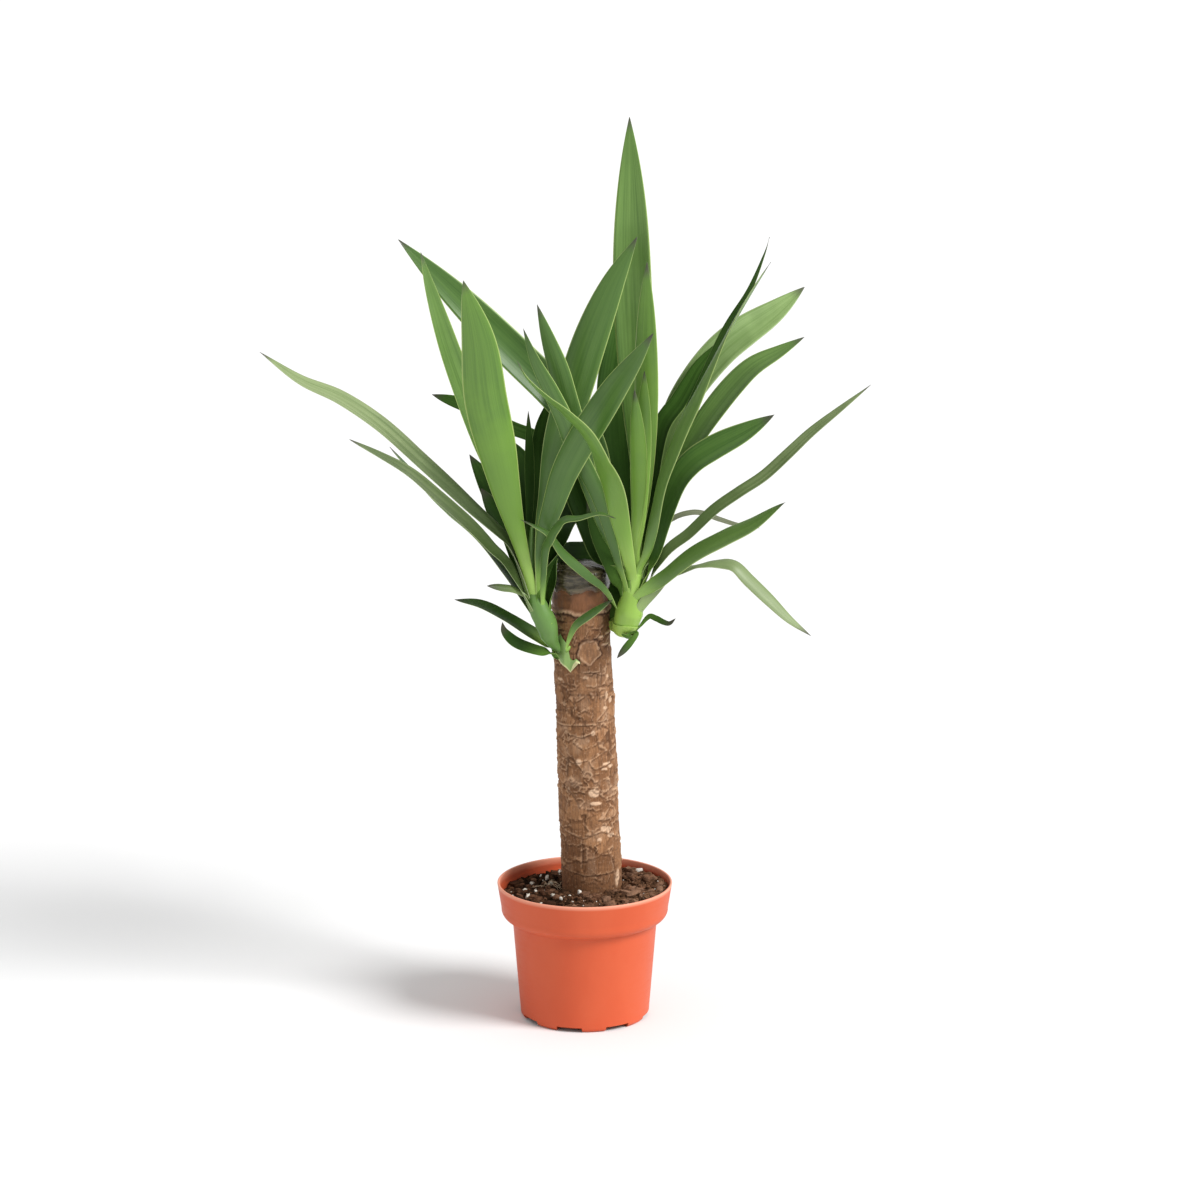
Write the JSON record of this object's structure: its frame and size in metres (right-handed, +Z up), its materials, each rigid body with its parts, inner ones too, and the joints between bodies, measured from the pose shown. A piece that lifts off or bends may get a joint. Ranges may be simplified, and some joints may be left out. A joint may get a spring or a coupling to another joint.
{
  "type": "potted yucca",
  "caption": "Potted yucca: a bare woody cane with a waxed cut top and leafy side shoots of long pointed blades, in a round orange nursery pot filled with dark potting mix.",
  "frame": {"origin": "centre of the pot's base, on the surface that the pot stands on", "axes": "+Z up along the pot's axis, +X to the right and +Y away for someone who faces the front"},
  "size_m": [0.4792, 0.3309, 0.7309],
  "materials": {
    "pot_plastic": "satin moulded",
    "potting_mix": "rough peat and bark mix",
    "bark": "rough bark",
    "sealing_wax": "hardened wax",
    "shoot": "smooth leaf bases",
    "leaf": "leathery, satin"
  },
  "bodies": {
    "root": {"pot": "pot_plastic", "soil": "potting_mix", "cane": "bark", "wax_cap": "sealing_wax", "left_stem": "shoot", "right_stem": "shoot", "left_leaf_01": "leaf", "left_leaf_02": "leaf", "left_leaf_03": "leaf", "left_leaf_04": "leaf", "left_leaf_05": "leaf", "left_leaf_06": "leaf", "left_leaf_07": "leaf", "left_leaf_08": "leaf", "left_leaf_09": "leaf", "left_leaf_10": "leaf", "left_leaf_11": "leaf", "left_leaf_12": "leaf", "left_leaf_13": "leaf", "left_leaf_14": "leaf", "left_leaf_15": "leaf", "left_leaf_16": "leaf", "left_leaf_17": "leaf", "left_leaf_18": "leaf", "left_leaf_19": "leaf", "left_leaf_20": "leaf", "right_leaf_01": "leaf", "right_leaf_02": "leaf", "right_leaf_03": "leaf", "right_leaf_04": "leaf", "right_leaf_05": "leaf", "right_leaf_06": "leaf", "right_leaf_07": "leaf", "right_leaf_08": "leaf", "right_leaf_09": "leaf", "right_leaf_10": "leaf", "right_leaf_11": "leaf", "right_leaf_12": "leaf", "right_leaf_13": "leaf", "right_leaf_14": "leaf", "right_leaf_15": "leaf", "right_leaf_16": "leaf", "right_leaf_17": "leaf", "right_leaf_18": "leaf", "right_leaf_19": "leaf", "right_leaf_20": "leaf", "right_leaf_21": "leaf", "right_leaf_22": "leaf", "right_leaf_23": "leaf", "right_leaf_24": "leaf", "right_leaf_25": "leaf", "right_leaf_26": "leaf", "right_leaf_27": "leaf", "right_leaf_28": "leaf", "right_leaf_29": "leaf"}
  },
  "joints": []
}
